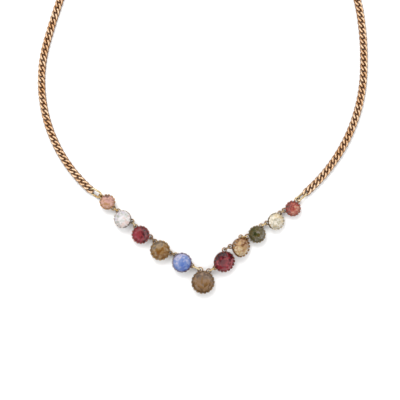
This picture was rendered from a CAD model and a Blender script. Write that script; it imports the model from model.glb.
# Gemstone necklace on a white surface: a curb chain, eleven claw-set stones and the links between them.
# Lengths are in millimetres up to newPiece, which turns them to metres.
import math

import bpy
import numpy as np
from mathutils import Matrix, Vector


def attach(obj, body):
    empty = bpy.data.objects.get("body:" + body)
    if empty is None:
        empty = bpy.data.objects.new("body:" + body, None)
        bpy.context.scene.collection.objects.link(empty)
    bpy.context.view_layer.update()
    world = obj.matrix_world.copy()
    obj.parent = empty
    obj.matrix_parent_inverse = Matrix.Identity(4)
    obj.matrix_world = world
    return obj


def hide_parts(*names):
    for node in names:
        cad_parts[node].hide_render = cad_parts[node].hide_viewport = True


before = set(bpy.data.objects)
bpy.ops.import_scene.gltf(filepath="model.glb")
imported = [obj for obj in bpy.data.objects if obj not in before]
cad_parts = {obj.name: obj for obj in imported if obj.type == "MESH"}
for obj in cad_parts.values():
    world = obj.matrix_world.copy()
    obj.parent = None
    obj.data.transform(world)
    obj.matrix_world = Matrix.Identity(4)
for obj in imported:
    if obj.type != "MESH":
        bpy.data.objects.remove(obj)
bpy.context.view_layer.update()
mm = 0.001
print("frame loaded:", len(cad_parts), "solid nodes")


# Helpers for colours, nodes and meshes

def hexColour(code):  # sRGB hex to linear
    channels = [int(code[i:i + 2], 16) / 255 for i in (1, 3, 5)]
    return [c / 12.92 if c <= 0.04045 else ((c + 0.055) / 1.055) ** 2.4 for c in channels] + [1.0]


def addNode(tree, kind, sockets=None, stops=(), **settings):
    made = tree.nodes.new(kind)
    for name, value in settings.items():
        setattr(made, name, value)
    if stops:  # places and colours on a colour ramp
        elements = made.color_ramp.elements
        while len(elements) < len(stops):
            elements.new(0.5)
        for element, (place, colour) in zip(elements, stops):
            element.position = place
            element.color = hexColour(colour)
    for socket, value in (sockets or {}).items():
        if isinstance(value, bpy.types.NodeSocket):
            tree.links.new(value, made.inputs[socket])
        else:
            made.inputs[socket].default_value = value
    return made


def newMaterial(name):
    material = bpy.data.materials.new(name)
    material.use_nodes = True
    tree = material.node_tree
    return material, tree, tree.nodes["Principled BSDF"]


def newPiece(name, shape, material, nodes):
    points, faces = shape
    mesh = bpy.data.meshes.new(name)
    mesh.from_pydata((points * mm).tolist(), [], faces)
    mesh.materials.append(material)
    mesh.polygons.foreach_set("use_smooth", [True] * len(mesh.polygons))
    piece = bpy.data.objects.new(name, mesh)
    bpy.context.scene.collection.objects.link(piece)
    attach(piece, "root")
    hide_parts(*nodes)
    return piece


def unit(v):
    return v / np.linalg.norm(v, axis=-1, keepdims=True)


def turnZ(points, degrees):
    c, s = math.cos(math.radians(degrees)), math.sin(math.radians(degrees))
    return points @ np.array([[c, s, 0], [-s, c, 0], [0, 0, 1]])


def turnY(points, degrees):
    c, s = math.cos(math.radians(degrees)), math.sin(math.radians(degrees))
    return points @ np.array([[c, 0, -s], [0, 1, 0], [s, 0, c]])


def turnX(points, degrees):
    c, s = math.cos(math.radians(degrees)), math.sin(math.radians(degrees))
    return points @ np.array([[1, 0, 0], [0, c, s], [0, -s, c]])


def closedGrid(rows, columns):  # closes both ways
    j, k = np.meshgrid(np.arange(rows), np.arange(columns), indexing="ij")
    j2, k2 = (j + 1) % rows, (k + 1) % columns
    corners = [j * columns + k, j2 * columns + k, j2 * columns + k2, j * columns + k2]
    return np.stack(corners, axis=-1).reshape(-1, 4)


def joined(shapes):
    firsts = np.cumsum([0] + [len(points) for points, faces in shapes[:-1]])
    faces = [face for (points, part), first in zip(shapes, firsts) for face in (part + first).tolist()]
    return np.concatenate([points for points, part in shapes]), faces


def sweptWire(middles, ups, wire, sides, flat=1.0):  # flat below 1 files the wire flat above and below
    along = unit(np.roll(middles, -1, axis=0) - np.roll(middles, 1, axis=0))
    up = unit(ups - np.sum(ups * along, axis=1)[:, None] * along)
    out = np.cross(along, up)
    angle = 2 * np.pi * (np.arange(sides) + 0.5) / sides
    across = np.cos(angle)[None, :, None] * out[:, None, :]
    above = np.clip(np.sin(angle), -flat, flat)[None, :, None] * up[:, None, :]
    points = middles[:, None, :] + wire / 2 * (across + above)
    return points.reshape(-1, 3), closedGrid(len(middles), sides)


# Curb chain

chain = {
    "linksASide": 72,
    "pitch": 2.19,
    "length": 3.3,  # between the middles of the wire
    "width": 2.14,
    "wire": 0.95,
    "twist": 55,  # degrees at each end of a link
    "square": 3,  # 2 would be an ellipse
    "height": 1.0,  # of the chain's middle above the surface
    "flat": 0.86,  # part of the wire's height that the file leaves
    "stations": 44,
    "sides": 12,
    "fineSteps": 1440,  # round a link, from which the evenly spaced stations are picked
}
route = {
    "start": (-45.4, -40.7),
    "heading": 138,
    # length and radius of each clockwise arc
    "arcs": [(64.8, 58.1), (23.5, 326), (161.7, 61.4), (23.4, 118), (54.5, 67.6)],
}
routeLength = sum(length for length, radius in route["arcs"])


def onRoute(s):
    (x, y), heading = route["start"], math.radians(route["heading"])
    for length, radius in route["arcs"]:
        after = heading - min(s, length) / radius
        x += radius * (math.sin(heading) - math.sin(after))
        y -= radius * (math.cos(heading) - math.cos(after))
        heading, s = after, s - length
        if s <= 0:
            break
    return np.array([x, y, 0]), math.degrees(heading)


def chainLink():
    t = 2 * np.pi * (np.arange(chain["fineSteps"]) + 0.5) / chain["fineSteps"]
    power = 2 / chain["square"]
    c = np.sign(np.cos(t)) * np.abs(np.cos(t)) ** power
    s = np.sign(np.sin(t)) * np.abs(np.sin(t)) ** power
    twist = math.radians(chain["twist"]) * c
    out = chain["width"] / 2 * s
    middles = np.stack([chain["length"] / 2 * c, out * np.cos(twist), -out * np.sin(twist)], axis=1)
    ups = np.stack([0 * c, np.sin(twist), np.cos(twist)], axis=1)
    steps = np.linalg.norm(np.roll(middles, -1, axis=0) - middles, axis=1)
    run = np.cumsum(steps) - steps
    even = np.arange(chain["stations"]) * steps.sum() / chain["stations"]
    at = np.searchsorted(run, even)
    return sweptWire(middles[at], ups[at], chain["wire"], chain["sides"], chain["flat"])


def chainSide(start, step):
    points, faces = chainLink()
    shapes = []
    for n in range(chain["linksASide"]):
        place, heading = onRoute(start + n * step)
        shapes.append((turnZ(points, heading) + place + [0, 0, chain["height"]], faces))
    return joined(shapes)


# Claw settings. A row for each stone, from the left end to the right end.

gems = [
    # "at" is the girdle's middle, "size" the width over the claws and "cut" how deep the cuts between them
    # go below the girdle. "lean" and "leanTo" are in degrees.
    {"at": (-38.1, -46.0), "size": 6.3, "leanTo": 60, "lean": 10, "claws": 14, "cut": 0.7,
     "slot": "dusty_pink_stone"},
    {"at": (-32.0, -52.8), "size": 7.3, "leanTo": 135, "lean": 12, "claws": 16, "cut": 0.7,
     "slot": "clear_stone"},
    {"at": (-24.8, -59.1), "size": 7.3, "leanTo": 200, "lean": 4, "claws": 16, "cut": 0.7,
     "slot": "garnet_stone"},
    {"at": (-17.0, -65.3), "size": 8.1, "leanTo": 100, "lean": 3, "claws": 16, "cut": 0.7,
     "slot": "golden_brown_stone"},
    {"at": (-8.3, -70.2), "size": 8.0, "leanTo": 90, "lean": 5, "claws": 16, "cut": 0.7,
     "slot": "cornflower_stone"},
    {"at": (0.1, -78.0), "size": 9.3, "leanTo": 0, "lean": 0, "claws": 18, "cut": 0.7,
     "slot": "smoky_stone"},
    {"at": (8.6, -69.8), "size": 8.7, "leanTo": -45, "lean": 20, "claws": 18, "cut": 0.7,
     "slot": "deep_garnet_stone"},
    {"at": (15.5, -64.0), "size": 8.1, "leanTo": -15, "lean": 36, "claws": 16, "cut": 1.5,
     "slot": "champagne_stone"},
    {"at": (21.7, -58.9), "size": 7.0, "leanTo": 140, "lean": 5, "claws": 16, "cut": 0.7,
     "slot": "green_stone"},
    {"at": (29.3, -53.7), "size": 7.0, "leanTo": -20, "lean": 14, "claws": 16, "cut": 0.7,
     "slot": "cream_stone"},
    {"at": (36.1, -48.6), "size": 6.3, "leanTo": 90, "lean": 4, "claws": 14, "cut": 0.7,
     "slot": "rose_stone"},
]
solderedRings = [
    # heading from the stone's middle, radius, height on the wall, roll about the heading
    [(136, 0.82, 1.3, 45), (-43, 0.75, 0.8, 0)],
    [(121, 0.80, 1.3, 0), (-12, 0.75, 0.5, 0)],
    [(123, 0.75, 1.4, 0), (-14, 0.82, 1.1, 0)],
    [(121, 0.75, 1.35, 0), (-15, 0.78, 1.2, 0)],
    [(129, 0.75, 1.2, 0), (-17, 0.78, 1.2, 0)],
    [(102.5, 0.97, 1.5, 0), (61.5, 0.88, 1.7, 0)],
    [(-137, 0.78, 0.8, 0), (89, 0.78, 1.9, 0)],
    [(179, 0.78, 0.3, 0), (75, 0.75, 0.3, 0)],
    [(-167, 0.82, 1.75, 0), (64, 0.75, 1.4, 0)],
    [(-166, 0.75, 0.4, 0), (60, 0.75, 1.1, 0)],
    [(-169, 0.75, 1.3, 0), (62, 1.20, 1.1, 30)],
]
collet = {
    "girdleHeight": 0.62,  # parts of the radius over the claws
    "baseWidth": 0.78,  # parts of the width over the claws
    "wall": 0.5,
    "ledgeIn": 0.74,  # from the rim in to the ledge under the stone
    "ledgeDrop": 0.45,  # from the girdle down to that ledge
    "clawHalf": (0.14, 0.34, 0.43),  # half widths of a claw at tip, rim and foot, in spacings of the claws
    "clawRound": 0.07,  # how far a claw's middle stands out
    "stoneRoom": 0.36,  # from the rim in to the stone's girdle
    "columnsAClaw": 24,
    "wire": 0.5,
    "sink": 0.16,  # of a soldered ring into the wall
}


def girdleHeight(gem):
    return collet["girdleHeight"] * gem["size"] / 2


def baseRadius(gem):
    return collet["baseWidth"] * gem["size"] / 2


def leaned(gem, points):  # from the setting's own frame, base on z = 0, to where it leans
    lean, leanTo = gem["lean"], gem["leanTo"]
    tilt = math.radians(lean)
    height = girdleHeight(gem) * math.cos(tilt) + baseRadius(gem) * math.sin(tilt)
    upright = turnZ(points - [0, 0, girdleHeight(gem)], -leanTo)
    return turnZ(turnY(upright, lean), leanTo) + [*gem["at"], height]


def girdleMiddle(gem):  # in metres, for the materials
    return Vector(leaned(gem, np.array([0, 0, girdleHeight(gem)]))) * mm


def wallAndClaws(gem):
    rim, girdle, base = gem["size"] / 2, girdleHeight(gem), baseRadius(gem)
    foot = girdle - gem["cut"]
    footRadius = base + (rim - base) * foot / girdle
    ledge = (rim - collet["ledgeIn"], girdle - collet["ledgeDrop"])
    innerFoot = ledge[0] + (base - collet["wall"] - ledge[0]) * (ledge[1] - foot) / ledge[1]
    inside = base - collet["wall"]
    # Both faces of the wall: run (0 at the base, 1 at the cuts' feet, 3 at the tips), radius and height
    outer = [
        (0, base - 0.08, 0),
        (0.08, base, 0.09),
        (1, footRadius, foot),
        (2, rim, girdle + 0.06),
        (2.3, rim - 0.03, girdle + 0.24),
        (2.6, rim - 0.15, girdle + 0.39),
        (2.85, rim - 0.34, girdle + 0.49),
        (3, rim - 0.52, girdle + 0.51),
    ]
    inner = [
        (0, inside + 0.05, 0),
        (0.05, inside, 0.06),
        (1, innerFoot, foot),
        (1.35, ledge[0], ledge[1]),
        (1.75, rim - 0.28, girdle - 0.13),
        (2.15, rim - 0.28, girdle + 0.14),
        (2.6, rim - 0.37, girdle + 0.25),
        (3, rim - 0.54, girdle + 0.36),
    ]
    columns = gem["claws"] * collet["columnsAClaw"]
    angle = 2 * np.pi * np.arange(columns) / columns
    across = (np.arange(columns) / collet["columnsAClaw"] + 0.5) % 1 - 0.5  # 0 in the middle of a claw
    tip, rimHalf, footHalf = collet["clawHalf"]
    top = np.interp(np.abs(across), (0, tip, rimHalf, footHalf), (3, 2.9, 2, 1))
    bulge = collet["clawRound"] * np.clip(1 - (across / footHalf) ** 2, 0, 1)

    def face(shape, share):
        run = top * share
        runs, radii, heights = zip(*shape)
        r, z = np.interp(run, runs, radii), np.interp(run, runs, heights)
        if shape is outer:  # the claws' middles stand out from just below the cuts' feet upwards
            r = r + bulge * np.clip((run - 0.9) / 0.5, 0, 1)
        return np.stack([r, z], axis=1)

    # Rows of points up each face, as shares of the way to its top
    shares = [0, 0.03, 0.12, 0.25, 0.38, 0.5, 0.6, 0.7, 0.8, 0.88, 0.94]
    outerRows = [face(outer, share) for share in shares]
    innerRows = [face(inner, share) for share in shares]
    outerEdge, innerEdge = outerRows[-1], innerRows[-1]
    middle, half = (outerEdge + innerEdge) / 2, (outerEdge - innerEdge) / 2
    onward = unit(face(outer, 1) - outerRows[-2]) * np.linalg.norm(half, axis=1)[:, None]
    bend = np.radians([35, 70, 110, 145])  # over the rounded top edge
    cap = [middle + half * math.cos(a) + onward * math.sin(a) for a in bend]
    rows = outerRows + cap + innerRows[::-1]
    profile = np.stack(rows, axis=1)
    points = np.stack([
        profile[:, :, 0] * np.cos(angle)[:, None],
        profile[:, :, 0] * np.sin(angle)[:, None],
        profile[:, :, 1],
    ], axis=-1)
    return leaned(gem, points.reshape(-1, 3)), closedGrid(columns, len(rows))


def ringMiddle(gem, ring):
    heading, radius, height, roll = ring
    out = np.array([math.cos(math.radians(heading)), math.sin(math.radians(heading)), 0])
    base, rim = baseRadius(gem), gem["size"] / 2
    wallRadius = base + (rim - base) * height / girdleHeight(gem)
    return leaned(gem, wallRadius * out + [0, 0, height]) + (radius - collet["sink"]) * out


def roundRing(radius, wire, stations=48, sides=14):
    angle = 2 * np.pi * np.arange(stations) / stations
    middles = radius * np.stack([np.cos(angle), np.sin(angle), 0 * angle], axis=1)
    return sweptWire(middles, np.tile([0.0, 0.0, 1.0], (stations, 1)), wire, sides)


def solderedRing(gem, ring):
    heading, radius, height, roll = ring
    points, faces = roundRing(radius, collet["wire"])
    return turnZ(turnX(points, roll), heading) + ringMiddle(gem, ring), faces


def setting(index):
    gem = gems[index]
    wall = wallAndClaws(gem)
    rings = [solderedRing(gem, ring) for ring in solderedRings[index]]
    return joined([wall] + rings), len(wall[1])


# Long links between the settings and at the chain's ends

links = {
    "wire": 0.66,
    "hookWire": 0.76,  # of the two at the chain's ends
    "endRadius": 0.74,  # middle of the wire, of the ten links between stones
    "roll": 90,  # those stand on edge
    "hookReach": 0.7,  # from the middle of the chain's last link to the middle of the wire that hangs in it
    "leftEnd": {"radius": 1.35, "roll": -35},
    "rightEnd": {"radius": 0.9, "roll": -45},
    "rubbed": (1, 5, 6, 8, 9),  # those that haven't blackened, from the left end
    "stations": 72,
    "sides": 14,
}


def longLink(p, q, endRadius, roll, wire):
    span = np.linalg.norm(q - p)
    straight = span - 2 * endRadius
    total = 2 * straight + 2 * math.pi * endRadius
    middles = []
    for n in range(links["stations"]):
        run, sign = n * total / links["stations"], 1
        if run > total / 2:
            run, sign = run - total / 2, -1
        if run < straight:
            place = [run - straight / 2, -endRadius]
        else:
            angle = (run - straight) / endRadius - math.pi / 2
            place = [straight / 2 + endRadius * math.cos(angle), endRadius * math.sin(angle)]
        middles.append([sign * place[0], sign * place[1], 0])
    ups = np.tile([0.0, 0.0, 1.0], (links["stations"], 1))
    points, faces = sweptWire(np.array(middles), ups, wire, links["sides"])
    x, y, z = q - p
    pitched = turnY(turnX(points, roll), -math.degrees(math.asin(z / span)))
    return turnZ(pitched, math.degrees(math.atan2(y, x))) + (p + q) / 2, faces


def hookPlace(s, side):
    place, heading = onRoute(s)
    out = np.array([math.cos(math.radians(heading)), math.sin(math.radians(heading)), 0])
    return place + side * links["hookReach"] * out + [0, 0, chain["height"]]


# Barrel clasp, out of the photograph's frame

clasp = {
    "diameter": 3.6,
    "ringRadius": 1.1,
    "wire": 0.42,
    "roll": 40,
    "reach": 1.8,  # from the last link's middle to a ring's middle
    "ringSink": 0.1,  # of the middle of a ring's wire into the barrel's end
    "round": 0.4,
    "axisHole": 0.02,
    "flatRow": 0.3,  # from the rounded edge in to a row of points on the flat end
    "groove": 0.07,  # depth of the seam where its two halves screw together
    "grooveHalf": (0.07, 0.16),  # half of its width, at its floor and at its mouth
    "sides": 64,
}


def claspShape():
    run = (chain["linksASide"] - 1) * chain["pitch"]
    a, b = onRoute(run)[0], onRoute(routeLength - run)[0]
    heading = math.degrees(math.atan2(b[1] - a[1], b[0] - a[0]))
    ringX = np.linalg.norm(b - a) / 2 - clasp["reach"]
    half, r, edge = ringX - clasp["ringRadius"] + clasp["ringSink"], clasp["diameter"] / 2, clasp["round"]
    bend = np.radians(np.linspace(0, 90, 7))
    # Half of the profile, places along and out from the axis: the flat end, its rounded edge, half the seam
    end = [(half, clasp["axisHole"]), (half, r - edge - clasp["flatRow"])]
    end += [(half - edge + edge * math.cos(a), r - edge + edge * math.sin(a)) for a in bend]
    floor, mouth = clasp["grooveHalf"]
    end += [(mouth, r), (floor, r - clasp["groove"])]
    profile = end + [(-x, y) for x, y in reversed(end)]
    angle = 2 * np.pi * np.arange(clasp["sides"]) / clasp["sides"]
    points = np.array([[x, y * math.cos(t), y * math.sin(t) + r] for t in angle for x, y in profile])
    shapes = [(points, closedGrid(clasp["sides"], len(profile)))]
    for side in (-1, 1):
        ringPoints, faces = roundRing(clasp["ringRadius"], clasp["wire"])
        rolled = turnX(ringPoints, -side * clasp["roll"])
        shapes.append((rolled + [side * ringX, 0, chain["height"]], faces))
    points, faces = joined(shapes)
    return turnZ(points, heading) + (a + b) / 2, faces


# Metal: nine carat gold, drawn or stamped, then polished by hand and worn. Warm pale reflections, with brown
# tarnish left where a cloth doesn't reach. The chain is a rose gold, the links and rings are yellower. Some
# of the links between the stones have blackened, and the soldered rings that hold them have browned.

handPolish = {
    "scratch": 0.12,  # mm, coarser than the real ones, so that they show
    "roughness": (0.16, 0.34),
}
roseGold = {
    "bright": "#FFE0BC",
    "worn": "#E4B486",
    "tarnish": "#66380C",
    "reach": 1.3,  # mm within which another surface keeps the cloth off
    "open": (0.48, 0.95),  # share of open sky at which a spot is all tarnish, and at which it is clean
    # upward part of the normal at which a flank is all dark, and at which it is rubbed clean
    "slope": (0.55, 0.95),
    **handPolish,
}
blackenedGold = {
    "bright": "#E8D0A6",
    "worn": "#704626",
    "tarnish": "#261106",
    "reach": 1.3,
    "open": (0.62, 1.0),
    "slope": (0.5, 0.95),
    **handPolish,
}
brownedGold = {
    "bright": "#F4D2A2",
    "worn": "#9C6A3C",
    "tarnish": "#4A260C",
    "reach": 1.0,
    "open": (0.5, 0.95),
    "slope": (0.35, 0.85),
    **handPolish,
}
yellowGold = {
    "bright": "#F6E6C0",
    "worn": "#C8A468",
    "tarnish": "#6A4A1C",
    "reach": 1.2,
    "open": (0.45, 0.9),
    "slope": (0.25, 0.8),
    **handPolish,
}
oldGold = {  # its colours come from the stone in it
    "reach": 0.7,
    "open": (0.3, 0.8),
    "slope": (0.1, 0.5),
    "scratch": 0.1,
    "roughness": (0.2, 0.42),
}
gold = {  # what all five share
    "patch": 3,  # mm, of the larger changes of tone
    "stops": (0.35, 0.62),  # of the patches, from worn to bright
    "scratches": (0.3, 0.7),  # of the fine noise, from smooth to rough
    "samples": 8,  # for the open sky
    "bump": 0.15,
    "bumpDepth": 0.02,  # mm
    "crust": 0.05,  # specular level of the tarnish
    "dullStart": 0.5,  # parts of the radius, where a dull side sets in and where it is full
    "dullFull": 0.8,
}


def goldMaterial(name, tint):
    material, tree, shader = newMaterial(name)
    spot = addNode(tree, "ShaderNodeTexCoord")
    place = spot.outputs["Object"]
    patchScale, fineScale = 1 / (gold["patch"] * mm), 1 / (tint["scratch"] * mm)
    patches = addNode(tree, "ShaderNodeTexNoise", {"Vector": place, "Scale": patchScale, "Detail": 4.0})
    fine = addNode(tree, "ShaderNodeTexNoise", {"Vector": place, "Scale": fineScale, "Detail": 3.0})
    tone = addNode(tree, "ShaderNodeValToRGB", {"Fac": patches.outputs["Fac"]},
                   stops=list(zip(gold["stops"], (tint["worn"], tint["bright"]))))
    shelter = addNode(tree, "ShaderNodeAmbientOcclusion", {"Distance": tint["reach"] * mm},
                      samples=gold["samples"])
    dirty, clean = tint["open"]
    crevice = addNode(tree, "ShaderNodeMapRange", {
        "Value": shelter.outputs["AO"], "From Min": dirty, "From Max": clean, "To Min": 1.0, "To Max": 0.0,
    }).outputs["Result"]
    upward = addNode(tree, "ShaderNodeSeparateXYZ", {"Vector": spot.outputs["Normal"]}).outputs["Z"]
    level = addNode(tree, "ShaderNodeMath", {0: upward}, operation="ABSOLUTE").outputs["Value"]
    steep, rubbed = tint["slope"]
    flank = addNode(tree, "ShaderNodeMapRange", {
        "Value": level, "From Min": steep, "From Max": rubbed, "To Min": 1.0, "To Max": 0.0,
    }).outputs["Result"]
    soiling = addNode(tree, "ShaderNodeMath", {0: crevice, 1: flank}, operation="MAXIMUM").outputs["Value"]
    if "dullSide" in tint:  # one side of a setting that has darkened more than the rest
        heading, middle, radius = tint["dullSide"]
        toward = (math.cos(math.radians(heading)) / radius, math.sin(math.radians(heading)) / radius, 0)
        own = addNode(tree, "ShaderNodeVectorMath", {0: place, 1: middle}, operation="SUBTRACT")
        share = addNode(tree, "ShaderNodeVectorMath", {0: own.outputs["Vector"], 1: toward},
                        operation="DOT_PRODUCT").outputs["Value"]
        dull = addNode(tree, "ShaderNodeMapRange", {
            "Value": share, "From Min": gold["dullStart"], "From Max": gold["dullFull"],
        })
        soiling = addNode(tree, "ShaderNodeMath", {0: soiling, 1: dull.outputs["Result"]},
                          operation="MAXIMUM").outputs["Value"]
    colour = addNode(tree, "ShaderNodeMix", {
        "Factor": soiling, "A": tone.outputs["Color"], "B": hexColour(tint["tarnish"]),
    }, data_type="RGBA")
    polish = addNode(tree, "ShaderNodeMath", {0: 1.0, 1: soiling}, operation="SUBTRACT")
    smooth, scratched = gold["scratches"]
    low, high = tint["roughness"]
    rough = addNode(tree, "ShaderNodeMapRange", {
        "Value": fine.outputs["Fac"],
        "From Min": smooth, "From Max": scratched, "To Min": low, "To Max": high,
    })
    bump = addNode(tree, "ShaderNodeBump", {
        "Strength": gold["bump"], "Distance": gold["bumpDepth"] * mm, "Height": fine.outputs["Fac"],
    })
    tree.links.new(colour.outputs["Result"], shader.inputs["Base Color"])
    tree.links.new(rough.outputs["Result"], shader.inputs["Roughness"])
    tree.links.new(bump.outputs["Normal"], shader.inputs["Normal"])
    tree.links.new(polish.outputs["Value"], shader.inputs["Metallic"])  # the tarnish is a dull crust
    shader.inputs["Specular IOR Level"].default_value = gold["crust"]
    return material


# Stones: each is named for what its colour and lustre look like, cut and polished. Smooth facets give sharp
# reflections, and the tones change inside the stone where its pavilion sends the light about.

stoneLooks = {
    # The tones run towards the heading. "clear" is the share of light that goes through. "claws" gives the
    # gold round the stone, which mirrors it: bright, worn and tarnished. "dullSide" is the heading of the
    # side where that gold has darkened.
    "dusty_pink_stone": {
        "name": "pinkTourmaline", "ior": 1.63, "clear": 0.3, "heading": 250, "rim": "#AB7D68",
        "claws": ("#DCB48A", "#A37B57", "#5A3618"),
        "tones": ("#7E6059", "#B68B84", "#D4A69B", "#C99C88", "#AE825B"),
    },
    "clear_stone": {
        "name": "whiteZircon", "ior": 1.93, "clear": 0.4, "heading": 300, "rim": "#F7F3EE",
        "claws": ("#F7ECE3", "#C6B9B0", "#54473B"), "dullSide": 325,
        "tones": ("#D7CFDA", "#F0EBED", "#B5BAAF", "#F0EBED", "#DFC7BF"),
    },
    "garnet_stone": {
        "name": "pyropeGarnet", "ior": 1.75, "clear": 0.3, "heading": 200, "rim": "#6F3335",
        "claws": ("#BC7D70", "#844C45", "#5B2C2A"),
        "tones": ("#372123", "#542226", "#752A30", "#8C373B", "#9B3B49"),
    },
    "golden_brown_stone": {
        "name": "citrine", "ior": 1.55, "clear": 0.3, "heading": 300, "rim": "#856943",
        "claws": ("#C0A37C", "#917453", "#694F34"),
        "tones": ("#6A5D51", "#8D7B68", "#A38966", "#886436", "#7A4F1F"),
    },
    "cornflower_stone": {
        "name": "paleSapphire", "ior": 1.77, "clear": 0.3, "heading": 120, "rim": "#7B7EA9",
        "claws": ("#B9B0B6", "#807382", "#55424A"), "dullSide": 325,
        "tones": ("#4A66B0", "#657EB8", "#768BC0", "#8494C2", "#B4B2CC"),
    },
    "smoky_stone": {
        "name": "smokyQuartz", "ior": 1.55, "clear": 0.25, "heading": 270, "rim": "#6F573E",
        "claws": ("#AE9274", "#7D654B", "#56412D"),
        "tones": ("#5C4B40", "#7E6B5B", "#907660", "#83623E", "#654727"),
    },
    "deep_garnet_stone": {
        "name": "almandineGarnet", "ior": 1.79, "clear": 0.2, "heading": 300, "rim": "#4C1A1E",
        "claws": ("#9B6052", "#6D3A34", "#46201C"),
        "tones": ("#1C070B", "#3E0C17", "#60151F", "#822029", "#95313A"),
    },
    "champagne_stone": {
        "name": "champagneTopaz", "ior": 1.62, "clear": 0.35, "heading": 250, "rim": "#8B6538",
        "claws": ("#AD8359", "#7D5937", "#55371C"),
        "tones": ("#713E17", "#A47F59", "#B89578", "#C4A068", "#DCC6A1"),
    },
    "green_stone": {
        "name": "greenTourmaline", "ior": 1.63, "clear": 0.25, "heading": 0, "rim": "#6C6352",
        "claws": ("#A99676", "#776A51", "#4F4635"),
        "tones": ("#2A2F15", "#454623", "#56471F", "#625A42", "#807A6E"),
    },
    "cream_stone": {
        "name": "paleZircon", "ior": 1.93, "clear": 0.4, "heading": 60, "rim": "#EFDFC1",
        "claws": ("#EFE4CC", "#B4A68C", "#4A3722"), "dullSide": 195,
        "tones": ("#CCB892", "#FBF4E6", "#ADA68A", "#FBF0DB", "#E3CEA6"),
    },
    "rose_stone": {
        "name": "rubellite", "ior": 1.63, "clear": 0.3, "heading": 320, "rim": "#8D584E",
        "claws": ("#BB7F6D", "#8F544A", "#633A31"),
        "tones": ("#624C46", "#81403C", "#9C4741", "#B26656", "#C89680"),
    },
}
cut = {
    "bend": 0.9,  # how far a facet's slope shifts what shows through it, in radii
    "facets": 3.2,  # patches over a stone's radius
    "drift": 0.42,  # how far the tones run from side to side
    "patch": 0.65,  # how much of the tones' range the patches cover, and the clouds
    "cloud": 0.5,
    "cloudScale": 1.3,
    "cloudStep": 3.7,  # from one stone's clouds to the next one's, and for the patches
    "patchStep": 1.9,
    "stops": (0.1, 0.3, 0.5, 0.7, 0.9),
    "rimStart": 0.86,  # of the radius
    "rimShare": 0.8,  # how much of the rim's colour shows there
    "roughness": 0.05,
    "specular": 0.16,  # below a new stone's 0.5, for the worn polish of old facets
}


def stoneMaterial(index):
    gem = gems[index]
    look = stoneLooks[gem["slot"]]
    material, tree, shader = newMaterial(look["name"])
    radius = (gem["size"] / 2 - collet["stoneRoom"]) * mm
    heading = math.radians(look["heading"])
    along = (math.cos(heading) * cut["drift"], math.sin(heading) * cut["drift"], 0)
    place = addNode(tree, "ShaderNodeTexCoord").outputs["Object"]
    own = addNode(tree, "ShaderNodeMapping", {
        "Vector": place, "Location": girdleMiddle(gem), "Scale": (radius,) * 3,
    }, vector_type="TEXTURE").outputs["Vector"]

    # Each facet turns the pattern by its own slope, as light does that leaves through it
    slope = addNode(tree, "ShaderNodeNewGeometry").outputs["True Normal"]
    seen = addNode(tree, "ShaderNodeVectorMath", {0: slope, 1: (cut["bend"], cut["bend"], 0.0), 2: own},
                   operation="MULTIPLY_ADD").outputs["Vector"]
    cloud = addNode(tree, "ShaderNodeTexNoise", {
        "Vector": seen, "Scale": cut["cloudScale"], "Detail": 2.0, "W": index * cut["cloudStep"],
    }, noise_dimensions="4D")
    patch = addNode(tree, "ShaderNodeTexVoronoi", {
        "Vector": seen, "Scale": cut["facets"], "W": index * cut["patchStep"],
    }, voronoi_dimensions="4D")
    patchTone = addNode(tree, "ShaderNodeSeparateColor", {"Color": patch.outputs["Color"]}).outputs["Red"]
    drift = addNode(tree, "ShaderNodeVectorMath", {0: own, 1: along},
                    operation="DOT_PRODUCT").outputs["Value"]
    withCloud = addNode(tree, "ShaderNodeMath", {0: cloud.outputs["Fac"], 1: cut["cloud"], 2: drift},
                        operation="MULTIPLY_ADD").outputs["Value"]
    mixed = addNode(tree, "ShaderNodeMath", {0: patchTone, 1: cut["patch"], 2: withCloud},
                    operation="MULTIPLY_ADD").outputs["Value"]
    tone = addNode(tree, "ShaderNodeValToRGB", {"Fac": mixed},
                   stops=list(zip(cut["stops"], look["tones"])))

    out = addNode(tree, "ShaderNodeVectorMath", {0: own, 1: (1.0, 1.0, 0.0)},
                  operation="MULTIPLY").outputs["Vector"]
    distance = addNode(tree, "ShaderNodeVectorMath", {0: out}, operation="LENGTH").outputs["Value"]
    edge = addNode(tree, "ShaderNodeMapRange", {
        "Value": distance, "From Min": cut["rimStart"], "From Max": 1.0, "To Max": cut["rimShare"],
    })
    colour = addNode(tree, "ShaderNodeMix", {
        "Factor": edge.outputs["Result"], "A": tone.outputs["Color"], "B": hexColour(look["rim"]),
    }, data_type="RGBA")
    tree.links.new(colour.outputs["Result"], shader.inputs["Base Color"])
    shader.inputs["Roughness"].default_value = cut["roughness"]
    shader.inputs["IOR"].default_value = look["ior"]
    shader.inputs["Specular IOR Level"].default_value = cut["specular"]
    shader.inputs["Transmission Weight"].default_value = look["clear"]
    return material


# Pieces

chainGold = goldMaterial("polishedRoseGold", roseGold)
endGold = goldMaterial("polishedYellowGold", yellowGold)
linkGold = goldMaterial("blackenedYellowGold", blackenedGold)
ringGold = goldMaterial("brownedYellowGold", brownedGold)

newPiece("chainLeft", chainSide(0, chain["pitch"]), chainGold, ["chain_left"])
newPiece("chainRight", chainSide(routeLength, -chain["pitch"]), chainGold, ["chain_right"])
print("chain made:", 2 * chain["linksASide"], "links")

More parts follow.
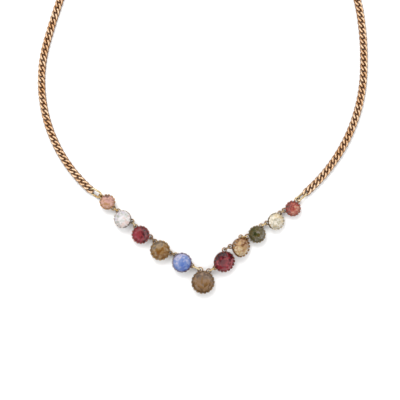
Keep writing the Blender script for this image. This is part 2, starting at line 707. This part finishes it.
for index, gem in enumerate(gems):
    look = stoneLooks[gem["slot"]]
    bright, worn, tarnish = look["claws"]
    tint = {**oldGold, "bright": bright, "worn": worn, "tarnish": tarnish}
    if "dullSide" in look:
        tint["dullSide"] = (look["dullSide"], girdleMiddle(gem), gem["size"] / 2 * mm)
    wallGold = goldMaterial("agedGoldAround_" + look["name"], tint)
    shape, wallFaces = setting(index)
    piece = newPiece(f"setting{index + 1}", shape, wallGold, [f"setting_{index + 1}"])
    ringFaces = (len(piece.data.polygons) - wallFaces) // 2
    firstGold = endGold if index == 0 else ringGold
    secondGold = endGold if index == len(gems) - 1 else ringGold
    piece.data.materials.append(firstGold)
    piece.data.materials.append(secondGold)
    places = [0] * wallFaces + [1] * ringFaces + [2] * ringFaces
    piece.data.polygons.foreach_set("material_index", places)
    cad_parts[f"stone_{index + 1}"].data.materials[0] = stoneMaterial(index)
print("settings and stones made:", len(gems))

for index in range(len(gems) - 1):
    here = ringMiddle(gems[index], solderedRings[index][1])
    there = ringMiddle(gems[index + 1], solderedRings[index + 1][0])
    shape = longLink(here, there, links["endRadius"], links["roll"], links["wire"])
    metal = endGold if index + 1 in links["rubbed"] else linkGold
    newPiece(f"jumpLink{index + 1}", shape, metal, [f"jump_link_{index + 1}"])
for side, gem, ring, hook, end in [
    ("left", gems[0], solderedRings[0][0], hookPlace(0, -1), links["leftEnd"]),
    ("right", gems[-1], solderedRings[-1][1], hookPlace(routeLength, 1), links["rightEnd"]),
]:
    shape = longLink(ringMiddle(gem, ring), hook, end["radius"], end["roll"], links["hookWire"])
    newPiece("chainLink" + side.title(), shape, endGold, ["chain_link_" + side])
newPiece("clasp", claspShape(), chainGold, ["clasp"])
print("links and clasp made")


# Studio: white floor, one big soft light from the upper left and a pale room

studio = {
    "frameMiddle": (-1.08, -45.2),  # mm, under the photograph's middle
    "frameWidth": 160,
    "lens": 100,
    "sensor": 36,
    "jewelHeight": 2,  # mm above the floor, where the frame's width is measured
    "clipStart": 0.01,  # m
    "floorHalf": 2.0,  # m
    "paper": [(0.0, "#EFEFEF"), (1.0, "#F4F4F4")],
    "paperGrain": 0.4,  # mm
    "paperRoughness": 0.9,
    # from the horizon up to the dark opening that the camera looks through
    "room": [(0.0, "#5A5A5A"), (0.25, "#6A6A6A"), (0.55, "#F2F2F2"), (0.86, "#F2F2F2"), (0.96, "#484848")],
    "roomStrength": 1.85,
    "lightAt": (-120, 300, 380),
    "lightSize": 340,
    "lightPower": 2.0,
}


def makeStudio():
    scene = bpy.context.scene
    scene.view_settings.view_transform = "Standard"
    x, y = studio["frameMiddle"]
    distance = studio["frameWidth"] * studio["lens"] / studio["sensor"]
    camera = bpy.data.objects.new("camera", bpy.data.cameras.new("camera"))
    camera.data.lens, camera.data.sensor_width = studio["lens"], studio["sensor"]
    camera.data.clip_start = studio["clipStart"]
    camera.location = Vector((x, y, distance + studio["jewelHeight"])) * mm
    scene.collection.objects.link(camera)
    scene.camera = camera

    half = studio["floorHalf"]
    mesh = bpy.data.meshes.new("floor")
    corners = [(-half, -half, 0), (half, -half, 0), (half, half, 0), (-half, half, 0)]
    mesh.from_pydata(corners, [], [(0, 1, 2, 3)])
    floor = bpy.data.objects.new("floor", mesh)
    scene.collection.objects.link(floor)
    paper, tree, shader = newMaterial("whiteCard")  # uncoated card: matt, near white, hardly any grain
    grainScale = 1 / (studio["paperGrain"] * mm)
    grain = addNode(tree, "ShaderNodeTexNoise", {"Scale": grainScale, "Detail": 2.0})
    tone = addNode(tree, "ShaderNodeValToRGB", {"Fac": grain.outputs["Fac"]}, stops=studio["paper"])
    tree.links.new(tone.outputs["Color"], shader.inputs["Base Color"])
    shader.inputs["Roughness"].default_value = studio["paperRoughness"]
    mesh.materials.append(paper)

    lamp = bpy.data.lights.new("softbox", "AREA")
    lamp.shape, lamp.size, lamp.energy = "DISK", studio["lightSize"] * mm, studio["lightPower"]
    softbox = bpy.data.objects.new("softbox", lamp)
    softbox.location = Vector(studio["lightAt"]) * mm
    aim = Vector((x * mm, y * mm, 0)) - softbox.location
    softbox.rotation_euler = aim.to_track_quat("-Z", "Y").to_euler()
    softbox.visible_glossy = False  # the pale room alone shows in the polish, without hard glints
    scene.collection.objects.link(softbox)

    world = bpy.data.worlds.new("room")
    scene.world = world
    world.use_nodes = True
    tree = world.node_tree
    toward = addNode(tree, "ShaderNodeTexCoord").outputs["Generated"]
    upward = addNode(tree, "ShaderNodeSeparateXYZ", {"Vector": toward})
    tent = addNode(tree, "ShaderNodeValToRGB", {"Fac": upward.outputs["Z"]}, stops=studio["room"])
    tree.links.new(tent.outputs["Color"], tree.nodes["Background"].inputs["Color"])
    tree.nodes["Background"].inputs["Strength"].default_value = studio["roomStrength"]
    print("studio made")


makeStudio()
